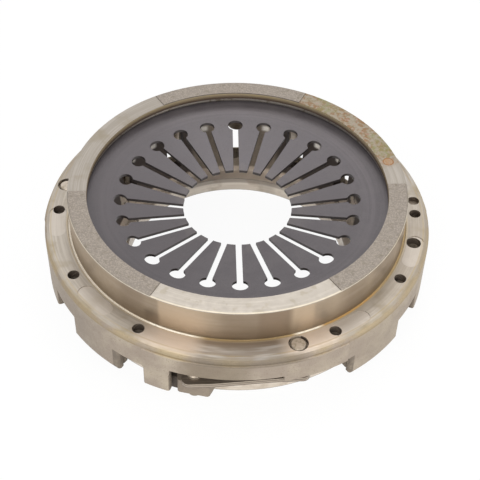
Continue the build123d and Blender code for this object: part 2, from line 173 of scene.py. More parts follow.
@dataclass(frozen=True)
class Surface:
    """A material's node tree and the shaded point, in cylinder coordinates about the clutch axis.

    Lengths are in metres and the angle is in radians. Outward is the unit vector along the radius,
    which has no seam, unlike the angle itself. Level is 1 on a level face and 0 on an upright one.
    """

    tree: Tree
    position: Socket
    across: Socket
    outward: Socket
    radius: Socket
    angle: Socket
    height: Socket
    normal: Socket
    upwards: Socket
    level: Socket
    mark_r: float = 130.0 * MM

    @classmethod
    def read(cls, tree: Tree) -> "Surface":
        """Work the coordinates out from the object's own: radius = |(x, y)|, angle = atan2(y, x).

        Args:
            tree: Node tree of the material.

        Returns:
            The surface, with a socket for each coordinate.
        """
        position = add_node(tree, "TexCoord", output="Object")
        x, y, z = (add_node(tree, "SeparateXYZ", {0: position}, output=way) for way in range(3))
        across = add_node(tree, "CombineXYZ", {0: x, 1: y})
        normal = add_node(tree, "NewGeometry", output="Normal")
        upwards = add_node(tree, "SeparateXYZ", {0: normal}, output=2)
        return cls(
            tree=tree,
            position=position,
            across=across,
            outward=add_node(tree, "VectorMath", {0: across}, output="Vector", operation="NORMALIZE"),
            radius=add_node(tree, "VectorMath", {0: across}, output="Value", operation="LENGTH"),
            angle=add_node(tree, "Math", {0: y, 1: x}, operation="ARCTAN2"),
            height=z,
            normal=normal,
            upwards=upwards,
            level=add_node(tree, "Math", {0: upwards}, operation="ABSOLUTE"),
        )

    def node(
        self,
        kind: str,
        inputs: Mapping[str | int, object],
        output: str | int = 0,
        **settings: object,
    ) -> Socket:
        """Add a node to the material's own tree, as add_node does."""
        return add_node(self.tree, kind, inputs, output, **settings)

    def both(self, *masks: Mask) -> Mask:
        """Mask of where all the masks hold: their product.

        Args:
            *masks: Sockets or numbers from 0 to 1.

        Returns:
            The mask.
        """
        result = masks[0]
        for mask in masks[1:]:
            result = self.node("Math", {0: result, 1: mask}, operation="MULTIPLY", use_clamp=True)
        return result

    def either(self, *masks: Mask) -> Mask:
        """Mask of where any of the masks holds: their sum, up to 1.

        Args:
            *masks: Sockets or numbers from 0 to 1.

        Returns:
            The mask.
        """
        result = masks[0]
        for mask in masks[1:]:
            result = self.node("Math", {0: result, 1: mask}, operation="ADD", use_clamp=True)
        return result

    def step(self, value: Socket, start: float, end: float) -> Socket:
        """Mask that rises smoothly from 0 at the start to 1 at the end, which may be the lower one."""
        return self.node("MapRange", {0: value, 1: start, 2: end}, interpolation_type="SMOOTHSTEP")

    def window(self, value: Socket, low: float | None, high: float | None, soft: float) -> Mask:
        """Mask that is 1 where low < value < high: a smooth step up times a smooth step down.

        Args:
            value: What is tested.
            low: Where the mask has risen to one half, or None for no lower limit.
            high: Where it has fallen to one half, or None for no upper limit.
            soft: Width of each step.

        Returns:
            The mask.
        """
        half = soft / 2
        steps = []
        if low is not None:
            steps.append(self.step(value, low - half, low + half))
        if high is not None:
            steps.append(self.step(value, high + half, high - half))
        return self.both(*steps)

    def heights(self, low: float | None, high: float | None, soft: float) -> Mask:
        """Mask of a span of heights."""
        return self.window(self.height, low, high, soft)

    def radii(self, low: float | None, high: float | None, soft: float) -> Mask:
        """Mask of a span of radii."""
        return self.window(self.radius, low, high, soft)

    def band(self, heights: Span, radii: Span) -> Mask:
        """Mask of a ring about the axis: a span of heights and a span of radii."""
        return self.both(self.heights(*heights), self.radii(*radii))

    def sector(self, middle: float, half: float, soft: float) -> Socket:
        """Mask of a sector: the cosine of the angle from its middle, stepped at the cosine of its half.

        Args:
            middle: Direction of the sector's middle, in degrees.
            half: Half of its span, in degrees.
            soft: Width of its soft edges, in degrees.

        Returns:
            The mask.
        """
        turned = self.node("Math", {0: self.angle, 1: math.radians(middle)}, operation="SUBTRACT")
        cosine = self.node("Math", {0: turned}, operation="COSINE")
        outer, inner = (math.cos(math.radians(half + reach)) for reach in (soft / 2, -soft / 2))
        return self.step(cosine, outer, inner)

    def by_straps(self, offset: float, half: float, soft: float) -> Mask:
        """Mask of three sectors, at an offset in degrees from the middle of each strap pack."""
        return self.either(*(self.sector(middle + offset, half, soft) for middle in STRAP_MIDDLES))

    def distance(self, point: tuple[float, float]) -> Socket:
        """Distance from an upright line through a point (x, y), in metres."""
        inputs = {0: self.across, 1: (*point, 0.0)}
        return self.node("VectorMath", inputs, output="Value", operation="DISTANCE")

    def layered(self, base: Tone, *layers: Layer) -> Socket:
        """Lay tones over a base, each where its mask says.

        Args:
            base: Tone below everything.
            *layers: Pairs of mask and tone, lowest first.

        Returns:
            The finished colour.
        """
        colour = base
        for mask, tone in layers:
            colour = self.node("Mix", {0: mask, 6: colour, 7: tone}, output=2, data_type="RGBA")
        return colour

    def patched(self, zone: Mask, *patches: Patch) -> list[Layer]:
        """Make layers of patches that lie on one zone.

        Args:
            zone: Mask of the zone.
            *patches: The patches, lowest first.

        Returns:
            One layer for each patch.
        """
        return [(self.both(zone, self.sector(p.middle, p.half, p.soft), p.strength), p.tone) for p in patches]

    def streaks(self, pitch: float, length: float, detail: float) -> Socket:
        """Marks of a lathe tool: noise over (radius + height) / pitch and arc / length.

        Args:
            pitch: Distance from mark to mark, in metres.
            length: How far a mark runs, at the radius mark_r, before it changes, in metres.
            detail: Octaves of the noise.

        Returns:
            Noise from 0 to 1.
        """
        climb = self.node("Math", {0: self.radius, 1: self.height}, operation="ADD")
        count = self.node("Math", {0: climb, 1: 1 / pitch}, operation="MULTIPLY")
        lift = self.node("CombineXYZ", {2: count})
        reach = self.mark_r / length
        arc = self.node("VectorMath", {0: self.outward, 3: reach}, output="Vector", operation="SCALE")
        place = self.node("VectorMath", {0: arc, 1: lift}, output="Vector", operation="ADD")
        return self.node("TexNoise", {"Vector": place, "Scale": 1.0, "Detail": detail, "Roughness": 0.6})

    def grain(self, size: float, detail: float) -> Socket:
        """Even noise whose grains are about this size, in metres."""
        settings = {"Vector": self.position, "Scale": 1 / size, "Detail": detail, "Roughness": 0.55}
        return self.node("TexNoise", settings)


@dataclass(frozen=True)
class Coat:
    """What a finish puts on the shader: colour, roughness and relief of a depth in metres."""

    colour: Socket
    roughness: Socket
    relief: Socket
    depth: float


@dataclass(frozen=True)
class Finish:
    """A material, named for what the real one is and how its surface was made."""

    name: str
    metallic: float

    def coat(self, on: Surface) -> Coat:
        """Say what the surface looks like at a place."""
        raise NotImplementedError

    def build(self) -> Material:
        """Make the Blender material.

        Returns:
            The material, with its nodes linked.
        """
        material = bpy.data.materials.new(self.name)
        material.use_nodes = True
        tree = material.node_tree
        tree.nodes.clear()
        coat = self.coat(Surface.read(tree))
        normal = add_node(tree, "Bump", {"Height": coat.relief, "Distance": coat.depth, "Strength": 1.0})
        inputs = {
            "Base Color": coat.colour,
            "Metallic": self.metallic,
            "Roughness": coat.roughness,
            "Normal": normal,
        }
        add_node(tree, "OutputMaterial", {"Surface": add_node(tree, "BsdfPrincipled", inputs)})
        material.diffuse_color = PLAIN_GREY
        LOG.info("finish %s: %d nodes", self.name, len(tree.nodes))
        return material


# --------------------------------------------------------------------------- finishes


@dataclass(frozen=True)
class CoverMarks:
    """The noises that break up the cover's tones."""

    rings: Socket
    broad: Socket
    sand: Socket
    rust: Socket
    speck: Socket
    bloom: Socket
    cloud: Socket
    sweep: Socket

    @classmethod
    def read(cls, on: Surface) -> "CoverMarks":
        """Draw each noise at its size.

        Args:
            on: The surface.

        Returns:
            The noises, each from 0 to 1.
        """
        # the sweep only changes around the cover, so that its bands run down the wall, one in 22 degrees
        bands = 2.6
        around = on.node("VectorMath", {0: on.outward, 3: bands}, output="Vector", operation="SCALE")
        return cls(
            # lathe feed is about 0.25 mm, too fine to show, so the rings are drawn 1.3 mm apart
            rings=on.streaks(1.3 * MM, 60 * MM, 3.0),
            broad=on.streaks(5.0 * MM, 45 * MM, 2.0),
            # moulding sand of 0.3 mm, drawn as 1.1 mm grains
            sand=on.grain(1.1 * MM, 3.0),
            rust=on.grain(2.4 * MM, 5.0),
            speck=on.grain(4 * MM, 4.0),
            bloom=on.grain(7 * MM, 4.0),
            cloud=on.grain(22 * MM, 3.0),
            sweep=on.node("TexNoise", {"Vector": around, "Scale": 1.0, "Detail": 2.0, "Roughness": 0.7}),
        )


@dataclass(frozen=True)
class TurnedCoverIron(Finish):
    """Ductile iron, sand cast, turned on its upper faces, under a thin yellow chromate.

    The turned faces are light and silky with fine rings, the cast ones darker and granular, and the
    chromate pools golden in corners and along edges.
    """

    name: str = "ductile_iron_turned_and_chromated"
    metallic: float = 0.55
    feet_top: float = 18.8 * MM
    flange_top: float = 43.4 * MM
    ring_top: float = 70.6 * MM
    pad_top: float = 71.2 * MM
    lip_r: float = 116.0 * MM
    wall_r: float = 130.7 * MM
    groove_r: float = 132.5 * MM
    skirt_r: float = 150.4 * MM
    stamp_at: tuple[float, float] = (118.8 * MM, 30.7 * MM)
    stamp_r: float = 4.0 * MM

    def coat(self, on: Surface) -> Coat:
        """Colour the casting zone by zone, from the feet up.

        Args:
            on: The surface.

        Returns:
            Its colour, its roughness and its relief, smooth where it was turned.
        """
        marks = CoverMarks.read(on)
        flange = on.band(
            (self.flange_top - 1.0 * MM, self.flange_top + 0.6 * MM, 0.4 * MM),
            (self.groove_r, None, 0.4 * MM),
        )
        wall = on.band(
            (self.flange_top - 0.6 * MM, self.ring_top - 0.3 * MM, 0.5 * MM),
            (self.wall_r - 2.2 * MM, self.groove_r, 0.4 * MM),
        )
        top = on.band(
            (self.ring_top - 0.5 * MM, None, 0.3 * MM),
            (self.lip_r - 0.3 * MM, None, 0.2 * MM),
        )
        pad = on.heights(self.ring_top + 0.3 * MM, None, 0.1 * MM)
        colour = on.layered(
            "#A4978A",
            (on.step(marks.cloud, 0.35, 0.7), "#B8AC9B"),
            (on.step(marks.sand, 0.56, 0.72), "#978979"),
            *self.skirt_tones(on, marks),
            *self.flange_tones(on, marks, flange),
            *self.shoulder_tones(on, marks, flange),
            *self.wall_tones(on, marks, wall),
            *self.groove_tones(on),
            *self.ring_tones(on, marks, top),
            *self.pad_tones(on, marks, pad),
            *self.edge_tones(on, marks),
            *self.stamp_tones(on, marks, top),
            *self.hole_tones(on, marks),
        )
        smooth = on.either(top, flange, wall)
        worked = on.node("Math", {0: smooth, 1: pad}, operation="SUBTRACT", use_clamp=True)
        silky = on.node("MapRange", {0: worked, 3: 0.62, 4: 0.40})
        uneven = on.node("MapRange", {0: marks.speck, 1: 0.3, 2: 0.7, 3: -0.06, 4: 0.08})
        roughness = on.node("Math", {0: silky, 1: uneven}, operation="ADD")
        fine = on.node("Math", {0: marks.rings, 1: 0.18}, operation="MULTIPLY")
        relief = on.node("Mix", {0: worked, 2: marks.sand, 3: fine}, output=0, data_type="FLOAT")
        return Coat(colour, roughness, relief, 0.35 * MM)

    def skirt_tones(self, on: Surface, marks: CoverMarks) -> list[Layer]:
        """Tones of the skirt and the feet, with painted shade on the feet's end faces and beside them, and
        painted glints inside the skirt.

        Args:
            on: The surface.
            marks: Its noises.

        Returns:
            The layers, lowest first.
        """
        low = on.heights(None, self.flange_top - 5.4 * MM, 6 * MM)
        # an end face looks along the arc, so that the part of its normal along the arc is near 1
        axis = (0.0, 0.0, 1.0)
        arc = on.node("VectorMath", {0: on.outward, 1: axis}, output="Vector", operation="CROSS_PRODUCT")
        along = on.node("VectorMath", {0: on.normal, 1: arc}, output="Value", operation="DOT_PRODUCT")
        facing = on.node("Math", {0: along}, operation="ABSOLUTE")
        end_face = on.node("MapRange", {0: facing, 1: 0.5, 2: 0.75})
        # painted shade: a narrow strip of the outer face beside some of the feet's ends is darkened like the
        # end faces
        beside_end = on.either(on.by_straps(-35.7, 1.2, 0.5), on.by_straps(34.0, 0.8, 0.5))
        ends = on.node("Math", {0: end_face, 1: beside_end}, operation="MAXIMUM")
        # painted glints inside the skirt, in line with two gaps of the plate's ridge
        spots = on.either(on.sector(109.8, 1.8, 1.2), on.sector(70.6, 1.8, 1.2))
        inside = on.band(
            (2.0 * MM, self.feet_top - 2.8 * MM, 5.0 * MM),
            (None, self.skirt_r - 4.9 * MM, 0.5 * MM),
        )
        return [
            *on.patched(low, Patch(-96.0, 8.0, 8.0, 0.75, "#867968")),
            *on.patched(1.0, Patch(180.0, 48.0, 20.0, 0.65, "#90857A")),
            *on.patched(low, Patch(-30.0, 22.0, 14.0, 0.25, "#8C8072")),
            # painted shade on the feet's end faces, up to the top of the feet
            (
                on.both(on.heights(None, self.feet_top, 0.3 * MM), ends),
                on.layered("#7D7266", (on.step(marks.speck, 0.45, 0.7), "#8F8476")),
            ),
            # painted glints inside the skirt
            (on.both(inside, spots), "#FFF6EC"),
        ]

    def flange_tones(self, on: Surface, marks: CoverMarks, flange: Mask) -> list[Layer]:
        """Tones of the flange: turned, streaked beside each strap pack, with painted shade by the groove
        there.

        Args:
            on: The surface.
            marks: Its noises.
            flange: Mask of the flange.

        Returns:
            The layers, lowest first.
        """
        planed = on.layered(
            "#ABA297",
            (on.step(marks.rings, 0.4, 0.66), "#BDB5AA"),
            (on.step(marks.cloud, 0.5, 0.72), "#A09584"),
        )
        streak = on.layered(
            "#9F958A",
            (on.step(marks.broad, 0.46, 0.6), "#C2BDB8"),
            (on.step(marks.rings, 0.6, 0.74), "#8A7E70"),
        )
        recess = on.band(
            (self.flange_top - 0.74 * MM, self.flange_top - 0.26 * MM, 0.1 * MM),
            (self.groove_r + 0.9 * MM, self.skirt_r - 3.0 * MM, 0.3 * MM),
        )
        shade_by_groove = on.radii(None, self.groove_r + 5.0 * MM, 4.5 * MM)
        beside_strap = on.either(on.sector(-110.0, 7.0, 9.0), on.sector(-68.0, 7.0, 8.0))
        return [
            (flange, planed),
            *on.patched(flange, Patch(-20.0, 22.0, 14.0, 0.5, "#A19586")),
            (on.both(recess, 0.6), "#C6BDB3"),
            (on.both(flange, on.by_straps(0.0, 15.0, 9.0), 0.85), streak),
            # painted shade on the flange by the groove, beside each strap pack
            (on.both(flange, on.by_straps(1.0, 14.0, 9.0), shade_by_groove, 0.8), "#806D57"),
            (on.both(flange, beside_strap, 0.8), "#DECDBC"),
        ]

    def shoulder_tones(self, on: Surface, marks: CoverMarks, flange: Mask) -> list[Layer]:
        """Tones of the rounding from the flange to the skirt: golden, with a line above and below, and a
        painted shadow under the flange's edge in front.

        Args:
            on: The surface.
            marks: Its noises.
            flange: Mask of the flange.

        Returns:
            The layers, lowest first.
        """
        top, outer = self.flange_top, self.skirt_r
        rounding = (outer - 4.2 * MM, None, 1.5 * MM)
        golden = on.band((top - 5.5 * MM, top - 0.2 * MM, 1.6 * MM), rounding)
        front = on.band((top - 6.5 * MM, top - 0.2 * MM, 1.6 * MM), rounding)
        upper_line = on.both(flange, on.radii(outer - 5.3 * MM, outer - 4.3 * MM, 0.5 * MM))
        lower_line = on.band((top - 5.4 * MM, top - 4.0 * MM, 0.6 * MM), (outer - 1.2 * MM, None, 0.4 * MM))
        return [
            (on.both(golden, on.step(marks.cloud, 0.3, 0.62), 0.55), "#A59169"),
            (on.both(upper_line, on.step(marks.sweep, 0.3, 0.5), 0.35), "#A58F5C"),
            (on.both(lower_line, on.step(marks.cloud, 0.3, 0.5), 0.45), "#8F7D5A"),
            # painted shadow on the front of the rounding and the skirt's top, under the flange's edge
            *on.patched(front, Patch(-87.0, 15.0, 8.0, 0.6, "#6E6456")),
        ]

    def wall_tones(self, on: Surface, marks: CoverMarks, wall: Mask) -> list[Layer]:
        """Tones of the wall below the ring: bronze, lighter and duller in bands, darker at its foot.

        Args:
            on: The surface.
            marks: Its noises.
            wall: Mask of the wall.

        Returns:
            The layers, lowest first.
        """
        bronze = on.layered(
            "#978773",
            (on.step(marks.broad, 0.35, 0.7), "#A19180"),
            (on.step(marks.sweep, 0.5, 0.7), "#AD9C86"),
        )
        # the wider of the two lighter bands starts sharply on its left and fades to its right
        fading = on.both(on.sector(-104.0, 11.2, 1.2), on.sector(-113.0, 13.0, 13.0))
        lighter_zone = on.either(on.sector(-69.8, 4.2, 1.6), fading)
        dull = on.either(on.both(on.sector(-125.0, 4.0, 5.0), 0.5), on.sector(-78.2, 4.8, 3.0))
        low = on.heights(self.flange_top + 0.6 * MM, self.flange_top + 12.6 * MM, 6 * MM)
        dark_streak = on.both(on.sector(-117.6, 2.4, 2.4), low)
        foot = on.step(on.height, self.flange_top + 16.6 * MM, self.flange_top + 0.1 * MM)
        return [
            (wall, bronze),
            *on.patched(wall, Patch(-61.0, 6.0, 7.0, 0.45, "#BBAA95")),
            (on.both(wall, lighter_zone, 0.6), "#C6B198"),
            (on.both(wall, dull, 0.75), "#7C6B59"),
            (on.both(wall, dark_streak, 0.5), "#6A5747"),
            *on.patched(
                wall,
                Patch(-88.0, 6.0, 5.0, 0.35, "#7C6B59"),
                Patch(-58.0, 8.0, 6.0, 0.18, "#857361"),
                Patch(-78.5, 4.0, 4.0, 0.5, "#94806C"),
                Patch(-155.0, 22.0, 14.0, 0.4, "#B5A48E"),
            ),
            (on.both(wall, foot, 0.6), "#71604B"),
        ]

    def groove_tones(self, on: Surface) -> list[Layer]:
        """Tones of the groove around the wall's foot, where the chromate has pooled: painted lighter against
        the groove's shade, with painted highlights on its floor and along its outer edge.

        Args:
            on: The surface.

        Returns:
            The layers, lowest first.
        """
        top, outer = self.flange_top, self.groove_r
        floor = on.band(
            (top - 1.6 * MM, top - 0.1 * MM, 0.2 * MM),
            (self.wall_r - 0.1 * MM, outer - 0.3 * MM, 0.4 * MM),
        )
        edge = on.band(
            (top - 0.6 * MM, top + 0.4 * MM, 0.3 * MM),
            (outer - 0.1 * MM, outer + 1.1 * MM, 0.3 * MM),
        )
        return [
            # golden chromate on the groove's floor, painted lighter against the groove's own shade
            (floor, "#D0BA90"),
            *on.patched(
                floor,
                Patch(-145.0, 34.0, 14.0, 1.0, "#EDE6DA"),
                Patch(-88.0, 11.0, 8.0, 0.7, "#AA9570"),
                Patch(-54.0, 14.0, 8.0, 0.7, "#D9B474"),
                # painted highlights on the groove's floor
                Patch(-110.0, 8.0, 6.0, 1.0, "#FFFBF2"),
                Patch(-67.0, 4.5, 3.0, 1.0, "#FFFBF2"),
            ),
            # painted highlight along the groove's outer edge
            (on.both(edge, 0.3), "#D9C59C"),
        ]

    def ring_tones(self, on: Surface, marks: CoverMarks, top: Mask) -> list[Layer]:
        """Tones of the ring's turned top: paler in front, spotted with rust on its far right.

        Args:
            on: The surface.
            marks: Its noises.
            top: Mask of the ring's top.

        Returns:
            The layers, lowest first.
        """
        turned = on.layered(
            "#9B9389",
            (on.step(marks.rings, 0.4, 0.66), "#A9A198"),
            (on.step(marks.cloud, 0.5, 0.72), "#938979"),
        )
        front = on.layered(
            "#AFA79D",
            (on.step(marks.rings, 0.45, 0.7), "#B9B1A6"),
            (on.step(marks.bloom, 0.52, 0.66), "#A69D8F"),
        )
        rusty = on.both(top, on.sector(40.0, 25.0, 10.0))
        brown = on.both(on.step(marks.speck, 0.42, 0.56), on.step(marks.rust, 0.44, 0.56))
        orange = on.both(on.step(marks.bloom, 0.42, 0.56), on.step(marks.rust, 0.4, 0.54))
        green = on.both(on.step(marks.cloud, 0.5, 0.6), on.step(marks.rust, 0.4, 0.6))
        return [
            (top, turned),
            (on.both(top, on.sector(-87.0, 31.5, 1.0), 0.9), front),
            (on.both(rusty, 0.6), "#93866F"),
            (on.both(rusty, brown, 0.7), "#7D6B48"),
            (on.both(rusty, orange, 0.75), "#86623F"),
            (on.both(rusty, green, 0.6), "#7F8355"),
            (on.both(rusty, on.step(marks.speck, 0.58, 0.68), 0.5), "#A9847A"),
        ]

    def pad_tones(self, on: Surface, marks: CoverMarks, pad: Mask) -> list[Layer]:
        """Tones of the three pads that were left as cast on the ring, and painted shade on the step around
        them.

        Args:
            on: The surface.
            marks: Its noises.
            pad: Mask of the pads.

        Returns:
            The layers, lowest first.
        """
        cast = on.layered(
            "#928980",
            (on.step(marks.sand, 0.45, 0.62), "#A59B90"),
            (on.step(marks.speck, 0.56, 0.72), "#8A8174"),
        )
        # painted shade on the tilted faces of the step around each pad
        rise = on.heights(self.ring_top + 0.06 * MM, self.pad_top - 0.06 * MM, 0.04 * MM)
        tilted = on.node("MapRange", {0: on.upwards, 1: 0.9, 2: 0.6})
        return [(pad, cast), (on.both(rise, tilted, 0.8), "#4E443B")]

    def edge_tones(self, on: Surface, marks: CoverMarks) -> list[Layer]:
        """Tones of the ring's two edges: a painted highlight on the outer brow in front, and a lip with
        painted shade on its lower part.

        Args:
            on: The surface.
            marks: Its noises.

        Returns:
            The layers, lowest first.
        """
        top = self.ring_top
        brow = on.band(
            (top - 2.2 * MM, top + 0.3 * MM, 0.5 * MM),
            (self.wall_r - 1.3 * MM, self.wall_r + 0.3 * MM, 0.5 * MM),
        )
        facing_up = on.node("MapRange", {0: on.upwards, 1: 0.75, 2: 0.95})
        lip = on.band((top - 6.5 * MM, top - 0.25 * MM, 0.4 * MM), (None, self.lip_r + 1.4 * MM, 0.5 * MM))
        lip_tone = on.layered(
            "#A8987C",
            (on.step(marks.rings, 0.5, 0.7), "#B3A17A"),
            # painted shade on the lip's lower part, next to the spring
            (on.step(on.height, top - 0.8 * MM, top - 4.6 * MM), "#594A40"),
        )
        return [
            # painted highlight on the brow, on the front of the ring only
            *on.patched(on.both(brow, facing_up), Patch(-90.0, 75.0, 20.0, 0.55, "#E6DAC2")),
            (lip, lip_tone),
        ]

    def stamp_tones(self, on: Surface, marks: CoverMarks, top: Mask) -> list[Layer]:
        """Tones of the round punch mark on the ring: copper brown, with a darker rim.

        Args:
            on: The surface.
            marks: Its noises.
            top: Mask of the ring's top.

        Returns:
            The layers, lowest first.
        """
        away = on.distance(self.stamp_at)
        face = on.window(away, None, self.stamp_r + 0.2 * MM, 0.8 * MM)
        rim = on.window(away, self.stamp_r - 0.5 * MM, self.stamp_r + 0.5 * MM, 0.6 * MM)
        return [
            (on.both(top, face, on.step(marks.rust, 0.3, 0.5), 0.75), "#A47C55"),
            (on.both(top, rim, 0.85), "#8C6238"),
        ]

    def hole_tones(self, on: Surface, marks: CoverMarks) -> list[Layer]:
        """Tone of the walls of the flange's holes, dark with painted shade.

        Args:
            on: The surface.
            marks: Its noises.

        Returns:
            The one layer.
        """
        steep = on.node("MapRange", {0: on.level, 1: 0.5, 2: 0.2})
        holes = on.band(
            (self.flange_top - 6.9 * MM, self.flange_top - 0.25 * MM, 0.2 * MM),
            (self.groove_r + 1.5 * MM, self.skirt_r - 4.5 * MM, 0.5 * MM),
        )
        # painted shade on the holes' walls, with faint rings
        hole_shade = on.layered("#4B4038", (on.step(marks.rings, 0.5, 0.6), "#74685C"))
        return [(on.both(steep, holes, 0.85), hole_shade)]


@dataclass(frozen=True)
class CastPlateIron(Finish):
    """Grey iron casting with a ground friction face and turned bore, rim and ridge.

    The cast back is brown and granular, the cut faces beige with fine rings.
    """

    name: str = "grey_iron_cast_and_turned"
    metallic: float = 0.45
    bore_r: float = 88.6 * MM
    ridge_r: float = 107.5 * MM
    rim_r: float = 131.4 * MM
    face_z: float = -13.9 * MM
    bore_top: float = -5.5 * MM
    shelf_z: tuple[float, float] = (-3.0 * MM, 5.0 * MM)
    glint_patch_z: tuple[float, float] = (-9.0 * MM, 30.0 * MM)
    painted_glint_z: tuple[float, float] = (43.9 * MM, 48.5 * MM)
    crest_z: float = 52.0 * MM
    painted_glint_pitch: float = 13.6
    far_side: float = 91.3
    # share of painted shade mixed over the whole piece, for the dark webs beside the lugs
    painted_shade: float = 0.0

    def coat(self, on: Surface) -> Coat:
        """Colour the plate by radius and height.

        Args:
            on: The surface.

        Returns:
            Its colour, its roughness and its relief, smooth where it was cut.
        """
        # moulding sand of 0.3 mm, drawn as 1.2 mm grains
        sand = on.grain(1.2 * MM, 3.0)
        cloud = on.grain(16 * MM, 3.0)
        # turning marks of 0.2 mm, drawn 1.2 mm apart
        rings = on.streaks(1.2 * MM, 50 * MM, 3.0)
        bore = on.radii(None, self.bore_r + 0.5 * MM, 0.4 * MM)
        rim = on.band(
            (None, -1.0 * MM, 0.8 * MM),
            (self.rim_r - 0.6 * MM, self.rim_r + 0.4 * MM, 0.4 * MM),
        )
        lugs = on.radii(self.rim_r + 1.5 * MM, None, 1 * MM)
        face = on.heights(None, self.face_z + 0.5 * MM, 0.4 * MM)
        crest = on.heights(self.crest_z, None, 1.4 * MM)
        cut = on.layered(
            "#D2C6B8",
            (on.step(rings, 0.4, 0.68), "#E0D6C9"),
            (on.step(cloud, 0.5, 0.7), "#C0B2A2"),
        )
        # the far side of the bore is dull along its upper edge and towards the right
        bore_edge = on.both(bore, on.heights(self.bore_top, None, 2.0 * MM))
        colour = on.layered(
            "#9E9182",
            (on.step(cloud, 0.35, 0.68), "#B0A392"),
            (on.step(sand, 0.55, 0.7), "#897C6E"),
            (on.both(lugs, 0.6), "#867A6E"),
            *self.ridge_tones(on),
            (rim, cut),
            (bore, cut),
            *on.patched(bore_edge, Patch(90.0, 28.0, 16.0, 0.6, "#6E6259")),
            *on.patched(bore, Patch(73.0, 4.0, 5.0, 0.35, "#8A7E72")),
            (crest, on.layered("#C9C1B4", (on.step(sand, 0.5, 0.7), "#A2937C"))),
            (face, on.layered("#A7A29A", (on.step(rings, 0.45, 0.65), "#BCB8B1"))),
            # painted shade over the whole piece, as much as its share says
            (self.painted_shade, "#2E2622"),
        )
        worked = on.either(bore, rim, face, crest)
        roughness = on.node("MapRange", {0: worked, 3: 0.66, 4: 0.42})
        fine = on.node("Math", {0: rings, 1: 0.2}, operation="MULTIPLY")
        relief = on.node("Mix", {0: worked, 2: sand, 3: fine}, output=0, data_type="FLOAT")
        return Coat(colour, roughness, relief, 0.4 * MM)

    def ridge_tones(self, on: Surface) -> list[Layer]:
        """Tones of the ridge's inside: a shelf painted pale with painted light, painted shade above it,
        patches of painted highlight and painted glints.

        Args:
            on: The surface.

        Returns:
            The layers, lowest first.
        """
        inside = on.radii(self.bore_r, self.ridge_r, 2 * MM)
        # the shelf is painted pale, as painted light
        shelf = on.both(inside, on.heights(*self.shelf_z, 3 * MM))
        # painted shade above the shelf, up to where the ridge's top was cut, and weaker on the far side
        shade_strength = on.node("MapRange", {0: on.sector(self.far_side, 21.0, 3.0), 3: 0.92, 4: 0.3})
        shade_above_shelf = on.both(inside, on.heights(self.shelf_z[1], None, 3 * MM), shade_strength)
        # at the sides, low on the ridge, painted highlights in patches
        sides = on.either(on.sector(23.0, 9.0, 2.0), on.sector(155.5, 6.0, 1.5))
        wear_and_glint_blotches = on.step(on.grain(5 * MM, 3.0), 0.38, 0.52)
        lighter_zone = on.both(inside, sides, on.heights(*self.glint_patch_z, 6 * MM), wear_and_glint_blotches)
        # a painted glint beside each of the spring's holes, on the side away from the far middle
        turned = on.node("Math", {0: on.angle, 1: math.radians(self.far_side)}, operation="SUBTRACT")
        aside = on.node("Math", {0: turned}, operation="ABSOLUTE")
        per_pitch = 1 / math.radians(self.painted_glint_pitch)
        count = on.node("Math", {0: aside, 1: per_pitch, 2: 0.4}, operation="MULTIPLY_ADD")
        place = on.node("Math", {0: count}, operation="FRACT")
        painted_glint = on.both(inside, on.window(place, 0.37, 0.61, 0.14), on.heights(*self.painted_glint_z, 2.6 * MM))
        return [(shelf, "#DCCDBE"), (shade_above_shelf, "#433936"), (lighter_zone, "#C6B8A8"), (painted_glint, "#FFF9F2")]


@dataclass(frozen=True)
class PhosphatedSpringSteel(Finish):
    """Spring steel disc, stamped, shot peened and phosphated, then lightly oiled.

    Dark satin grey with a faint violet tone and a fine even mottle from the shot.
    """

    name: str = "spring_steel_peened_and_phosphated"
    metallic: float = 0.35
    tips_r: tuple[float, float] = (60.0 * MM, 42.0 * MM)
    belt_r: tuple[float, float] = (97.9 * MM, 121.0 * MM)
    rubbed_r: tuple[float, float] = (103.5 * MM, 107.5 * MM)

    def coat(self, on: Surface) -> Coat:
        """Mottle the disc, with faint press rings on its closed outer part, and painted shade on its left
        side and on its steep walls.

        Args:
            on: The surface.

        Returns:
            Its colour, its satin roughness and its dimples.
        """
        # shot dimples of 0.4 mm, drawn 1.0 mm across
        dimple = on.grain(1.0 * MM, 2.0)
        cloud = on.grain(14 * MM, 3.0)
        rings = on.streaks(2.6 * MM, 90 * MM, 2.0)
        belt = on.radii(*self.belt_r, 6 * MM)
        lighter_zone = on.radii(*self.rubbed_r, 3 * MM)
        tips = on.step(on.radius, *self.tips_r)
        # painted shade on the steep walls of the slots, keyholes and outer edge
        edge_wall_shade = on.node("MapRange", {0: on.level, 1: 0.8, 2: 0.4})
        colour = on.layered(
            "#595457",
            (on.both(on.step(cloud, 0.35, 0.7), 0.6), "#635E60"),
            (on.both(on.step(dimple, 0.5, 0.7), 0.45), "#4D484A"),
            (on.both(belt, on.step(rings, 0.4, 0.7), 0.3), "#6D676A"),
            (on.both(lighter_zone, 0.12), "#777072"),
            # painted shade on the disc's left side
            *on.patched(1.0, Patch(-175.0, 62.0, 25.0, 0.5, "#4F4A4D")),
            (on.both(tips, on.step(cloud, 0.4, 0.6), 0.3), "#6E6866"),
            (on.both(edge_wall_shade, 0.8), "#37312F"),
        )
        roughness = on.node("MapRange", {0: cloud, 1: 0.3, 2: 0.7, 3: 0.34, 4: 0.44})
        faint = on.node("Math", {0: rings, 1: 0.3}, operation="MULTIPLY")
        relief = on.node("Math", {0: dimple, 1: faint}, operation="ADD")
        return Coat(colour, roughness, relief, 0.10 * MM)


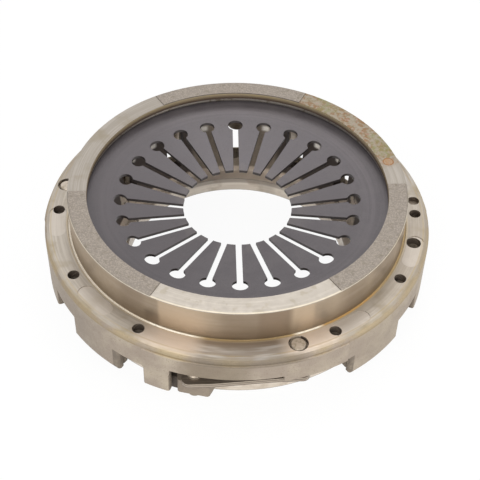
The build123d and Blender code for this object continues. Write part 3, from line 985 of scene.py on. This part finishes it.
@dataclass(frozen=True)
class DrawnWire(Finish):
    """Spring wire, drawn and bent to a ring: bright grey with fine lines along it."""

    name: str = "spring_wire_drawn"
    metallic: float = 0.9

    def coat(self, on: Surface) -> Coat:
        """Draw die lines along the wire.

        Args:
            on: The surface.

        Returns:
            Its colour, its roughness and its lines.
        """
        # die lines of 0.05 mm, drawn 0.5 mm apart
        lines = on.streaks(0.5 * MM, 120 * MM, 2.0)
        spots = on.grain(6 * MM, 3.0)
        colour = on.layered(
            "#8C867F",
            (on.step(lines, 0.4, 0.65), "#A39D95"),
            (on.step(spots, 0.55, 0.7), "#6E655A"),
        )
        roughness = on.node("MapRange", {0: spots, 1: 0.3, 2: 0.7, 3: 0.28, 4: 0.42})
        return Coat(colour, roughness, lines, 0.05 * MM)


@dataclass(frozen=True)
class RolledStrip(Finish):
    """Spring steel strip, cold rolled and tempered: brown-grey, with fine lines along its length."""

    name: str = "spring_strip_rolled_and_tempered"
    metallic: float = 0.4
    along: tuple[float, float] = (1.0, 0.0)
    edge: str = "#BDAFA1"
    # rolling lines of 0.1 mm, drawn 0.8 mm apart
    line_pitch: float = 0.8 * MM
    line_length: float = 24.0 * MM

    def lengths(self, on: Surface, way: tuple[float, float], unit: float) -> Socket:
        """How many units the point lies along a direction.

        Args:
            on: The surface.
            way: Unit vector (x, y) of the direction.
            unit: Length of a unit, in metres.

        Returns:
            The number of units.
        """
        inputs = {0: on.position, 1: (*way, 0.0)}
        reach = on.node("VectorMath", inputs, output="Value", operation="DOT_PRODUCT")
        return on.node("Math", {0: reach, 1: 1 / unit}, operation="MULTIPLY")

    def coat(self, on: Surface) -> Coat:
        """Draw rolling lines: noise that is stretched thirty times along the strip.

        Args:
            on: The surface.

        Returns:
            Its colour, paler or darker on the sheared edges, its roughness and its lines.
        """
        lengthwise = self.lengths(on, self.along, self.line_length)
        sidewise = self.lengths(on, (-self.along[1], self.along[0]), self.line_pitch)
        place = on.node("CombineXYZ", {0: lengthwise, 1: sidewise})
        lines = on.node("TexNoise", {"Vector": place, "Scale": 1.0, "Detail": 2.0})
        temper = on.grain(12 * MM, 2.0)
        sheared = on.node("MapRange", {0: on.level, 1: 0.6, 2: 0.3})
        colour = on.layered(
            "#6C6156",
            (on.step(lines, 0.4, 0.66), "#82776B"),
            (on.step(temper, 0.5, 0.7), "#5F5449"),
            (on.both(sheared, 0.9), self.edge),
        )
        roughness = on.node("MapRange", {0: temper, 1: 0.3, 2: 0.7, 3: 0.34, 4: 0.48})
        return Coat(colour, roughness, lines, 0.06 * MM)


@dataclass(frozen=True)
class HeadedRivetSteel(Finish):
    """Mild steel rivet, cold headed and left plain: pale grey, with faint rings from the snap."""

    name: str = "mild_steel_cold_headed"
    metallic: float = 0.6
    centre: tuple[float, float] = (0.0, 0.0)
    head_r: float = 5.8 * MM
    # snap marks of 0.2 mm, drawn 0.9 mm apart
    ring_pitch: float = 0.9 * MM

    def coat(self, on: Surface) -> Coat:
        """Draw rings about the rivet's own axis, sin(2 pi distance / pitch), and a dark line around it.

        Args:
            on: The surface.

        Returns:
            Its colour, its roughness and its relief.
        """
        away = on.distance(self.centre)
        phase = on.node("Math", {0: away, 1: 2 * math.pi / self.ring_pitch}, operation="MULTIPLY")
        wave = on.node("Math", {0: phase}, operation="SINE")
        wear_and_glint_blotches = on.grain(2.2 * MM, 3.0)
        edge = on.window(away, self.head_r - 0.7 * MM, None, 0.5 * MM)
        colour = on.layered(
            "#BCB0A2",
            (on.both(on.step(wave, -0.6, 1.0), 0.25), "#C6BEB4"),
            (on.both(on.step(wear_and_glint_blotches, 0.5, 0.66), 0.6), "#94876F"),
            (on.both(edge, 0.5), "#6E6252"),
        )
        roughness = on.node("MapRange", {0: wear_and_glint_blotches, 1: 0.3, 2: 0.7, 3: 0.36, 4: 0.52})
        faint = on.node("Math", {0: wave, 1: 0.2}, operation="MULTIPLY")
        relief = on.node("Math", {0: faint, 1: wear_and_glint_blotches}, operation="ADD")
        return Coat(colour, roughness, relief, 0.08 * MM)


# --------------------------------------------------------------------------- meshes


def grid_faces(rows: int, columns: int, first: int = 0, flip: bool = False) -> np.ndarray:
    """Quads of a grid whose vertices run row by row: corners (i, j), (i, j+1), (i+1, j+1), (i+1, j).

    Args:
        rows: Vertices along the first way.
        columns: Vertices along the second.
        first: Number of the grid's first vertex.
        flip: Turn the faces over.

    Returns:
        Array of four vertex numbers per face.
    """
    at = first + np.arange(rows * columns).reshape(rows, columns)
    quads = np.stack([at[:-1, :-1], at[:-1, 1:], at[1:, 1:], at[1:, :-1]], axis=-1).reshape(-1, 4)
    return quads[:, ::-1] if flip else quads


def slab(top: np.ndarray, bottom: np.ndarray) -> Block:
    """Close two matching grids into a slab: both faces, and a wall along each of the four edges.

    Args:
        top: Upper grid, rows x columns x 3. Seen from above, the way along a row is to the left of
            the way from row to row.
        bottom: Lower grid of the same shape.

    Returns:
        Vertices and quads, which face outwards.
    """
    rows, columns = top.shape[:2]
    count = rows * columns
    at = np.arange(count).reshape(rows, columns)
    rim = np.concatenate([at[0, :], at[1:, -1], at[-1, -2::-1], at[-2::-1, 0]])
    wall = np.stack([rim[1:], rim[1:] + count, rim[:-1] + count, rim[:-1]], axis=-1)
    faces = np.concatenate([grid_faces(rows, columns, flip=True), grid_faces(rows, columns, count), wall])
    return np.concatenate([top.reshape(-1, 3), bottom.reshape(-1, 3)]), faces


def joined(blocks: Sequence[Block]) -> Block:
    """Put blocks into one mesh: each block's quads are counted on from the vertices before it.

    Args:
        blocks: Vertices and quads of each block.

    Returns:
        All the vertices and all the quads.
    """
    first = np.cumsum([0] + [len(vertices) for vertices, _ in blocks[:-1]])
    faces = [quads + start for (_, quads), start in zip(blocks, first)]
    return np.concatenate([vertices for vertices, _ in blocks]), np.concatenate(faces)


def ring_sector(
    radii: Sequence[float], span: Sequence[float], heights: Sequence[float], steps: Sequence[int]
) -> Block:
    """Sector of a ring, closed as a slab: each point is (r cos a, r sin a, z) on a grid over r and a.

    Args:
        radii: Inner and outer radius, in metres.
        span: First and last angle, in degrees.
        heights: Lower and upper height, in metres.
        steps: Vertices along the radius and along the angle.

    Returns:
        Vertices and quads.
    """
    radius = np.linspace(*radii, steps[0])[:, None]
    angle = np.radians(np.linspace(*span, steps[1]))[None, :]
    x, y = radius * np.cos(angle), radius * np.sin(angle)
    bottom, top = (np.stack([x, y, np.full_like(x, z)], axis=-1) for z in heights)
    return slab(top, bottom)


def merge_points(vertices: np.ndarray, faces: np.ndarray) -> Block:
    """Merge points that fall into the same cell of a grid whose step is MERGE.

    Args:
        vertices: Points in metres.
        faces: Quads.

    Returns:
        The points that are left, and the quads that join them.
    """
    cells = np.round(vertices / MERGE).astype(np.int64)
    _, keep, number = np.unique(cells, axis=0, return_index=True, return_inverse=True)
    return vertices[keep], number.reshape(-1)[faces]


def make_object(name: str, block: Block, material: Material, edge: float) -> Piece:
    """Make a smooth-shaded object whose sharp edges are rounded by a Bevel modifier.

    Args:
        name: Name of the object and its mesh.
        block: Points in metres, and quads.
        material: Its finish.
        edge: Width of the rounding, in metres.

    Returns:
        The object, at the origin and unturned.
    """
    vertices, faces = block
    mesh = bpy.data.meshes.new(name)
    mesh.from_pydata(vertices.tolist(), [], faces.tolist())
    mesh.validate()
    mesh.materials.append(material)
    mesh.polygons.foreach_set("use_smooth", np.ones(len(mesh.polygons), dtype=bool))
    mesh.set_sharp_from_angle(angle=SMOOTH_BELOW)
    piece = bpy.data.objects.new(name, mesh)
    bpy.context.scene.collection.objects.link(piece)
    bevel = piece.modifiers.new("rounded_edges", "BEVEL")
    bevel.width, bevel.segments, bevel.limit_method = edge, ROUND_SEGMENTS, "ANGLE"
    bevel.angle_limit, bevel.harden_normals = ROUND_ABOVE, True
    return piece


def dress(node: str, material: Material) -> Piece:
    """Give a solid of the assembly its finish.

    Args:
        node: Name of the solid.
        material: Its finish.

    Returns:
        The solid's object.
    """
    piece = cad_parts[node]
    for place in piece.material_slots:
        place.link = "OBJECT"
        place.material = material
    return piece


# --------------------------------------------------------------------------- sub-assemblies


@dataclass
class CoverCasting:
    """The cover and the wire ring under its lip.

    Their solids have their full shape, but for the locating hole's boss and the returns of the feet.
    """

    finish: Finish = field(default_factory=TurnedCoverIron)
    wire: Finish = field(default_factory=DrawnWire)

    dowel_r: float = 5.6 * MM
    dowel_circle: float = 139.2 * MM
    dowel_angle: float = math.radians(-13.3)
    flange_under: float = 37.4 * MM
    boss_wall: float = 2.6 * MM
    boss_depth: float = 14.0 * MM
    boss_root: float = 0.5 * MM
    boss_edge: float = 0.3 * MM
    boss_steps: int = 49
    foot_ends: tuple[tuple[float, float], ...] = ((-26.4, -24.6), (-7.8, -6.0), (6.0, 7.8), (23.6, 25.4))
    return_radii: tuple[float, float] = (140.8 * MM, 145.3 * MM)
    return_heights: tuple[float, float] = (1.0 * MM, 18.9 * MM)
    return_steps: tuple[int, int] = (4, 4)
    return_edge: float = 0.7 * MM

    def build(self) -> list[Piece]:
        """Finish the casting and the wire, and add the locating hole's boss and the feet's returns.

        Returns:
            The cover's pieces.
        """
        iron = self.finish.build()
        pieces = [dress("cover", iron), dress("fulcrum_ring", self.wire.build()), self.boss(iron)]
        for number, third in enumerate(THIRDS, start=1):
            pieces.append(self.returns(f"foot_returns_{number}", third, iron))
        return pieces

    def returns(self, name: str, third: float, iron: Material) -> Piece:
        """Build the inward returns at the ends of a third's two long feet: a sector of a ring each.

        Args:
            name: Name of the piece.
            third: Direction of the third's middle, in degrees.
            iron: Its finish.

        Returns:
            The returns' object.
        """
        spans = [(third + first, third + last) for first, last in self.foot_ends]
        blocks = [
            ring_sector(self.return_radii, span, self.return_heights, self.return_steps) for span in spans
        ]
        piece = make_object(name, joined(blocks), iron, self.return_edge)
        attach(piece, Body.COVER.value)
        return piece

    def boss(self, iron: Material) -> Piece:
        """Build the short tube around the locating hole: a closed profile turned about the hole's axis.

        The profile is a rectangle between the hole and the boss's outside, from just inside the
        flange down by the boss's depth; each point (r, z) becomes (r cos a, r sin a, z) around it.

        Args:
            iron: Its finish.

        Returns:
            The boss's object.
        """
        inner, outer = self.dowel_r, self.dowel_r + self.boss_wall
        high, low = self.flange_under + self.boss_root, self.flange_under - self.boss_depth
        profile = np.array([(inner, high), (outer, high), (outer, low), (inner, low), (inner, high)])
        turn = np.linspace(0.0, 2 * math.pi, self.boss_steps)
        centre = self.dowel_circle * np.array([math.cos(self.dowel_angle), math.sin(self.dowel_angle)])
        x = centre[0] + np.outer(np.cos(turn), profile[:, 0])
        y = centre[1] + np.outer(np.sin(turn), profile[:, 0])
        z = np.broadcast_to(profile[:, 1], x.shape)
        points = np.stack([x, y, z], axis=-1).reshape(-1, 3)
        tube = merge_points(points, grid_faces(*x.shape))
        piece = make_object("locating_hole_boss", tube, iron, self.boss_edge)
        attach(piece, Body.COVER.value)
        return piece


@dataclass
class DiaphragmSpring:
    """A coned disc with 24 fingers, whose slots end in keyholes."""

    fingers: int = 24
    first_slot: float = math.radians(-88.73)
    outer_r: float = 121.0 * MM
    tip_r: float = 42.4 * MM
    thickness: float = 2.4 * MM
    cone: float = math.radians(8.5)
    rest_z: float = 56.5 * MM
    hole_circle: float = 90.9 * MM
    hole_length: float = 10.6 * MM
    hole_width: float = 12.2 * MM
    slot_width: float = 4.6 * MM
    edge: float = 0.3 * MM
    fulcrum_r: float = 119.2 * MM
    # share of its cone's height that the disc keeps when the plate is lifted
    lift_keep: float = 0.66
    slot_steps: int = 15
    hole_steps: int = 26
    finger_columns: int = 9
    belt_rows: int = 9
    finish: Finish = field(default_factory=PhosphatedSpringSteel)

    def top(self, radius: np.ndarray | float) -> np.ndarray | float:
        """Height of the upper face: a cone through the keyhole circle."""
        return self.rest_z + (radius - self.hole_circle) * math.tan(self.cone)

    def rows(self) -> tuple[np.ndarray, np.ndarray]:
        """Walk along one side of a slot and keyhole.

        Along the slot the half gap is constant. In the keyhole it is an ellipse, walked by its own
        angle: distance = circle + a cos t, half gap = b sin t, until it closes at the far end.

        Returns:
            Radius of each row, and the angle from the slot's middle at which metal starts.
        """
        a, b, gap = self.hole_length / 2, self.hole_width / 2, self.slot_width / 2
        start = math.pi - math.asin(gap / b)
        inner = self.hole_circle + a * math.cos(start)
        slot = np.linspace(math.sqrt(self.tip_r**2 - gap**2), inner, self.slot_steps + 1)[:-1]
        t = np.linspace(start, 0.0, self.hole_steps)
        distance = np.concatenate([slot, self.hole_circle + a * np.cos(t)])
        half = np.concatenate([np.full(self.slot_steps, gap), b * np.sin(t)])
        half[-1] = 0.0
        return np.hypot(distance, half), np.arctan2(half, distance)

    def shell(self, radius: np.ndarray, angle: np.ndarray) -> tuple[np.ndarray, np.ndarray]:
        """Upper and lower points at polar places: the lower lie the disc's upright thickness below.

        Args:
            radius: Radii, in metres, of a shape that fits the angles'.
            angle: Angles, in radians.

        Returns:
            Grid of the upper points and grid of the lower ones.
        """
        radius, angle = np.broadcast_arrays(radius, angle)
        x, y = radius * np.cos(angle), radius * np.sin(angle)
        top = np.stack([x, y, self.top(radius)], axis=-1)
        bottom = top - np.array([0.0, 0.0, self.thickness / math.cos(self.cone)])
        return top, bottom

    @staticmethod
    def without_inner_walls(faces: np.ndarray) -> np.ndarray:
        """Drop walls that two grids share, which stand on the same four points."""
        _, index, count = np.unique(np.sort(faces, axis=1), axis=0, return_index=True, return_counts=True)
        return faces[np.sort(index[count == 1])]

    def build(self) -> list[Piece]:
        """Build the disc as 24 finger grids and one belt around them.

        A finger's grid has rows at constant radius; each row is the arc between the two slots'
        edges. The belt's grid runs once around, and its first row has the fingers' last points.

        Returns:
            The spring, as the only piece.
        """
        pitch = 2 * math.pi / self.fingers
        radius, inset = self.rows()
        share = np.linspace(0.0, 1.0, self.finger_columns)
        turn = inset[:, None] * (1 - share) + (pitch - inset)[:, None] * share
        finger = self.first_slot + pitch * np.arange(self.fingers)
        tops, bottoms = self.shell(radius[:, None], finger[:, None, None] + turn)
        slabs = [slab(top, bottom) for top, bottom in zip(tops, bottoms)]
        around = np.append((finger[:, None] + pitch * share[:-1]).ravel(), finger[0] + 2 * math.pi)
        belt_r = np.linspace(radius[-1], self.outer_r, self.belt_rows)
        slabs.append(slab(*self.shell(belt_r[:, None], around)))
        vertices, faces = merge_points(*joined(slabs))
        disc = (vertices, self.without_inner_walls(faces))
        spring = make_object("spring_disc", disc, self.finish.build(), self.edge)
        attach(spring, Body.COVER.value)
        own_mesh(spring)
        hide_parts("diaphragm_spring")
        return [spring]


@dataclass
class DriveStraps:
    """Three packs of four leaves from the cover to the plate's lugs, with their rivets."""

    circle: float = 140.0 * MM
    cover_angle: float = -42.0
    lug_angle: float = -72.35
    leaves: int = 4
    leaf_thickness: float = 1.0 * MM
    leaf_width: float = 20.0 * MM
    overhang: float = 9.6 * MM
    corner_r: float = 5.5 * MM
    flat: float = 12.0 * MM
    bend_r: float = 60.0 * MM
    seat_z: float = 16.5 * MM
    drop: float = 4.1 * MM
    edge: float = 0.15 * MM
    # share of the flat ends that stays with the cover or the plate while a leaf bends
    held: float = 0.7
    corner_steps: int = 7
    strip_steps: int = 42
    width_steps: int = 7
    slope_steps: int = 2000
    # every other leaf has darker edges, so that the pack reads as leaves
    edge_tones: Mapping[str, str] = field(default_factory=lambda: {"light": "#B3A696", "dark": "#7F7368"})

    def ends(self, third: float) -> tuple[np.ndarray, np.ndarray]:
        """Places of a pack's two rivets on the rivet circle.

        Args:
            third: Direction of the third's middle, in degrees.

        Returns:
            Point (x, y) of the cover's rivet and of the lug's, in metres.
        """
        angles = [math.radians(third + offset) for offset in (self.cover_angle, self.lug_angle)]
        cover, lug = (self.circle * np.array([math.cos(angle), math.sin(angle)]) for angle in angles)
        return cover, lug

    def outline(self, span: float) -> tuple[np.ndarray, np.ndarray]:
        """Outline of a leaf: its half width is constant, but for a quarter circle at each corner.

        Args:
            span: Distance between the rivets, in metres.

        Returns:
            Distance of each row from the first rivet, and the half width there.
        """
        start, stop = self.corner_r - self.overhang, span + self.overhang - self.corner_r
        first = start - self.corner_r * np.sin(np.linspace(0, math.pi / 2, self.corner_steps))[::-1]
        straight = np.linspace(start, stop, self.strip_steps + 2)[1:-1]
        along = np.concatenate([first, straight, span - first[::-1]])
        from_end = np.minimum(along + self.overhang, span + self.overhang - along)
        inside = np.maximum(self.corner_r - from_end, 0.0)
        corner = np.sqrt(np.maximum(self.corner_r**2 - inside**2, 0.0))
        return along, self.leaf_width / 2 - self.corner_r + corner

    def fall(self, span: float, along: np.ndarray) -> np.ndarray:
        """How far a leaf has dropped: the running sum of its slope.

        The slope rises from 0 to the middle's slope and back, over two bends of the bend radius.

        Args:
            span: Distance between the rivets, in metres.
            along: Distances from the first rivet, in metres.

        Returns:
            The drop at each distance.
        """
        slope = self.drop / (span - 2 * self.flat)
        reach = self.bend_r * math.tan(math.atan(slope) / 2)
        first, last = self.flat, span - self.flat
        bends = [first - reach, first + reach, last - reach, last + reach]
        fine = np.linspace(-self.overhang, span + self.overhang, self.slope_steps)
        lean = np.interp(fine, bends, [0, slope, slope, 0])
        total = np.concatenate([[0.0], np.cumsum((lean[1:] + lean[:-1]) / 2 * np.diff(fine))])
        return np.interp(along, fine, total)

    def leaf(self, name: str, third: float, number: int, material: Material) -> Piece:
        """Build one leaf: its outline, carried along an S from the cover's rivet to the lug's.

        Args:
            name: Name of the solid it stands for.
            third: Direction of the third's middle, in degrees.
            number: Place in the pack, 0 on top.
            material: Its finish.

        Returns:
            The leaf's object.
        """
        start, end = self.ends(third)
        span = float(np.linalg.norm(end - start))
        way = (end - start) / span
        side = np.array([-way[1], way[0]])
        along, half = self.outline(span)
        height = self.seat_z - number * self.leaf_thickness - self.fall(span, along)
        across = half[:, None] * np.linspace(-1.0, 1.0, self.width_steps)
        flat = start + along[:, None, None] * way + across[..., None] * side
        top = np.concatenate([flat, np.broadcast_to(height[:, None, None], (*across.shape, 1))], axis=-1)
        bottom = top - np.array([0.0, 0.0, self.leaf_thickness])
        piece = make_object(f"{name}_strip", slab(top, bottom), material, self.edge)
        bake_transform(piece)
        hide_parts(name)
        return piece

    def build(self) -> list[Piece]:
        """Build the leaves and finish the rivets.

        Returns:
            The leaves and rivets of the three packs.
        """
        pieces = []
        for pack, third in enumerate(THIRDS, start=1):
            start, end = self.ends(third)
            way = tuple(((end - start) / np.linalg.norm(end - start)).tolist())
            strips = [
                RolledStrip(name=f"spring_strip_rolled_{pack}_{tone}", along=way, edge=edge).build()
                for tone, edge in self.edge_tones.items()
            ]
            for number in range(self.leaves):
                strip = strips[number % len(strips)]
                pieces.append(self.leaf(f"strap_{pack}_leaf_{number + 1}", third, number, strip))
            for place, centre in (("cover", start), ("lug", end)):
                name = f"mild_steel_headed_{place}_{pack}"
                steel = HeadedRivetSteel(name=name, centre=tuple(centre.tolist())).build()
                pieces.append(dress(f"strap_{pack}_{place}_rivet", steel))
        return pieces


@dataclass
class PressurePlate:
    """The ring-shaped plate, whose solid has its full shape but for the webs beside the lugs, which are
    painted dark as painted shade.
    """

    finish: Finish = field(default_factory=CastPlateIron)
    # the webs' finish: cast iron under painted shade
    painted_dark_iron: Finish = field(default_factory=lambda: CastPlateIron(name="grey_iron_cast_with_painted_shade", painted_shade=0.8))
    lugs: tuple[float, ...] = (-102.35, 17.65, 137.65)
    web_span: tuple[float, float] = (-8.9, -4.2)
    web_radii: tuple[float, float] = (130.6 * MM, 143.4 * MM)
    web_heights: tuple[float, float] = (-5.1 * MM, 7.6 * MM)
    web_steps: tuple[int, int] = (5, 8)
    web_edge: float = 0.8 * MM

    def build(self) -> list[Piece]:
        """Finish the casting and add its webs.

        Returns:
            The plate's pieces.
        """
        pieces = [dress("pressure_plate", self.finish.build())]
        dark = self.painted_dark_iron.build()
        for number, lug in enumerate(self.lugs, start=1):
            pieces.append(self.web(f"lug_{number}_web", lug, dark))
        return pieces

    def web(self, name: str, lug: float, iron: Material) -> Piece:
        """Build the web that joins a lug's side to the rim: a sector of a ring, painted dark as painted
        shade.

        Args:
            name: Name of the piece.
            lug: Direction of the lug's middle, in degrees.
            iron: Its finish.

        Returns:
            The web's object.
        """
        span = [lug + offset for offset in self.web_span]
        block = ring_sector(self.web_radii, span, self.web_heights, self.web_steps)
        piece = make_object(name, block, iron, self.web_edge)
        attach(piece, Body.PLATE.value)
        return piece


# --------------------------------------------------------------------------- studio


@dataclass(frozen=True)
class Lamp:
    """One soft lamp: a square panel that faces the object."""

    name: str
    place: tuple[float, float, float]
    width: float
    power: float
    colour: str = "#FFFFFF"
    aim: tuple[float, float, float] = (0.0, 0.0, 30.0 * MM)

    def build(self) -> None:
        """Hang the lamp and aim it at the middle of the object."""
        light = bpy.data.lights.new(self.name, "AREA")
        light.shape, light.size, light.energy = "SQUARE", self.width, self.power
        light.color = linear(self.colour)[:3]
        lamp = bpy.data.objects.new(self.name, light)
        bpy.context.scene.collection.objects.link(lamp)
        turn = (Vector(self.aim) - Vector(self.place)).to_track_quat("-Z", "Y")
        lamp.matrix_world = Matrix.Translation(self.place) @ turn.to_matrix().to_4x4()


@dataclass(frozen=True)
class Studio:
    """A white floor under the plate, a white surround and soft lamps."""

    floor_gap: float = 0.05 * MM
    floor_width: float = 8.0
    floor_glow: float = 0.94
    surround: float = 0.74
    lamps: tuple[Lamp, ...] = (
        Lamp("key_panel", (-0.45, -1.4, 1.2), 0.9, 13.0, "#FFFDF8"),
        Lamp("far_panel", (0.1, 0.8, 1.6), 0.8, 5.0),
        Lamp("side_panel", (1.2, -1.0, 0.7), 0.8, 7.0, "#FFFBF2"),
    )

    def seen(self, tree: Tree) -> Socket:
        """1 for camera, glossy and transmission rays: those that show the surround itself.

        Args:
            tree: Node tree that asks.

        Returns:
            The highest of the three.
        """
        kinds = ("Is Camera Ray", "Is Glossy Ray", "Is Transmission Ray")
        camera, glossy, clear = (add_node(tree, "LightPath", output=kind) for kind in kinds)
        either = add_node(tree, "Math", {0: camera, 1: glossy}, operation="MAXIMUM")
        return add_node(tree, "Math", {0: either, 1: clear}, operation="MAXIMUM")

    def surroundings(self) -> None:
        """Make the world: white where it is seen, and less bright as a light."""
        world = bpy.data.worlds.new("white_surround")
        bpy.context.scene.world = world
        world.use_nodes = True
        tree = world.node_tree
        tree.nodes.clear()
        strength = add_node(tree, "MapRange", {0: self.seen(tree), 3: self.surround, 4: 1.0})
        back = add_node(tree, "Background", {"Color": "#FFFFFF", "Strength": strength})
        add_node(tree, "OutputWorld", {"Surface": back})

    def paper(self) -> Material:
        """Make the floor's paper: matt white under the object's shadow, and white where it is seen.

        Returns:
            The material.
        """
        paper = bpy.data.materials.new("white_paper_sweep")
        paper.use_nodes = True
        tree = paper.node_tree
        tree.nodes.clear()
        matt = add_node(tree, "BsdfDiffuse", {"Color": "#FFFFFF"})
        glow = add_node(tree, "Emission", {"Color": "#FFFFFF", "Strength": 1.0})
        lift = add_node(tree, "Math", {0: self.seen(tree), 1: self.floor_glow}, operation="MULTIPLY")
        mixed = add_node(tree, "MixShader", {0: lift, 1: matt, 2: glow})
        add_node(tree, "OutputMaterial", {"Surface": mixed})
        return paper

    def build(self) -> None:
        """Set the view, the surround, the floor and the lamps."""
        bpy.context.scene.view_settings.view_transform = "Standard"
        self.surroundings()
        half, level = self.floor_width / 2, CAD_BOX[0][2] - self.floor_gap
        corners = [(x * half, y * half, level) for x, y in ((-1, -1), (1, -1), (1, 1), (-1, 1))]
        mesh = bpy.data.meshes.new("floor")
        mesh.from_pydata(corners, [], [(0, 1, 2, 3)])
        mesh.materials.append(self.paper())
        floor = bpy.data.objects.new("floor", mesh)
        bpy.context.scene.collection.objects.link(floor)
        for lamp in self.lamps:
            lamp.build()
        LOG.info("studio: floor at %.2f mm, %d lamps", level / MM, len(self.lamps))


@dataclass(frozen=True)
class Viewpoint:
    """The camera, looking down on the front of the cover at 45 degrees."""

    place: tuple[float, float, float] = (-8.34 * MM, -629.25 * MM, 641.70 * MM)
    elevation: float = 0.785849
    turn: float = math.radians(-1.0)
    roll: float = 0.0244751
    lens: float = 82.75
    film_width: float = 36.0
    nearest: float = 10.0 * MM

    def build(self) -> None:
        """Place the camera: its axes are right, up and back, turned about Z and rolled."""
        sin, cos = math.sin(self.elevation), math.cos(self.elevation)
        about_z = Matrix.Rotation(self.turn, 3, "Z")
        right, up, forward = (about_z @ Vector(axis) for axis in ((1, 0, 0), (0, sin, cos), (0, cos, -sin)))
        s, c = math.sin(self.roll), math.cos(self.roll)
        axes = Matrix((c * right + s * up, c * up - s * right, -forward)).transposed().to_4x4()
        data = bpy.data.cameras.new("camera")
        data.lens, data.sensor_width, data.clip_start = self.lens, self.film_width, self.nearest
        camera = bpy.data.objects.new("camera", data)
        bpy.context.scene.collection.objects.link(camera)
        camera.matrix_world = Matrix.Translation(self.place) @ axes
        bpy.context.scene.camera = camera
        LOG.info("camera: %.2f mm lens", self.lens)


def main() -> None:
    """Build and dress the assembly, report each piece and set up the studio."""
    logging.basicConfig(level=logging.INFO, format="%(name)s: %(message)s")
    for assembly in (CoverCasting(), DiaphragmSpring(), PressurePlate(), DriveStraps()):
        for piece in assembly.build():
            LOG.info("%s: %s, %d faces", type(assembly).__name__, piece.name, len(piece.data.polygons))
    Studio().build()
    Viewpoint().build()


if __name__ == "__main__":
    main()
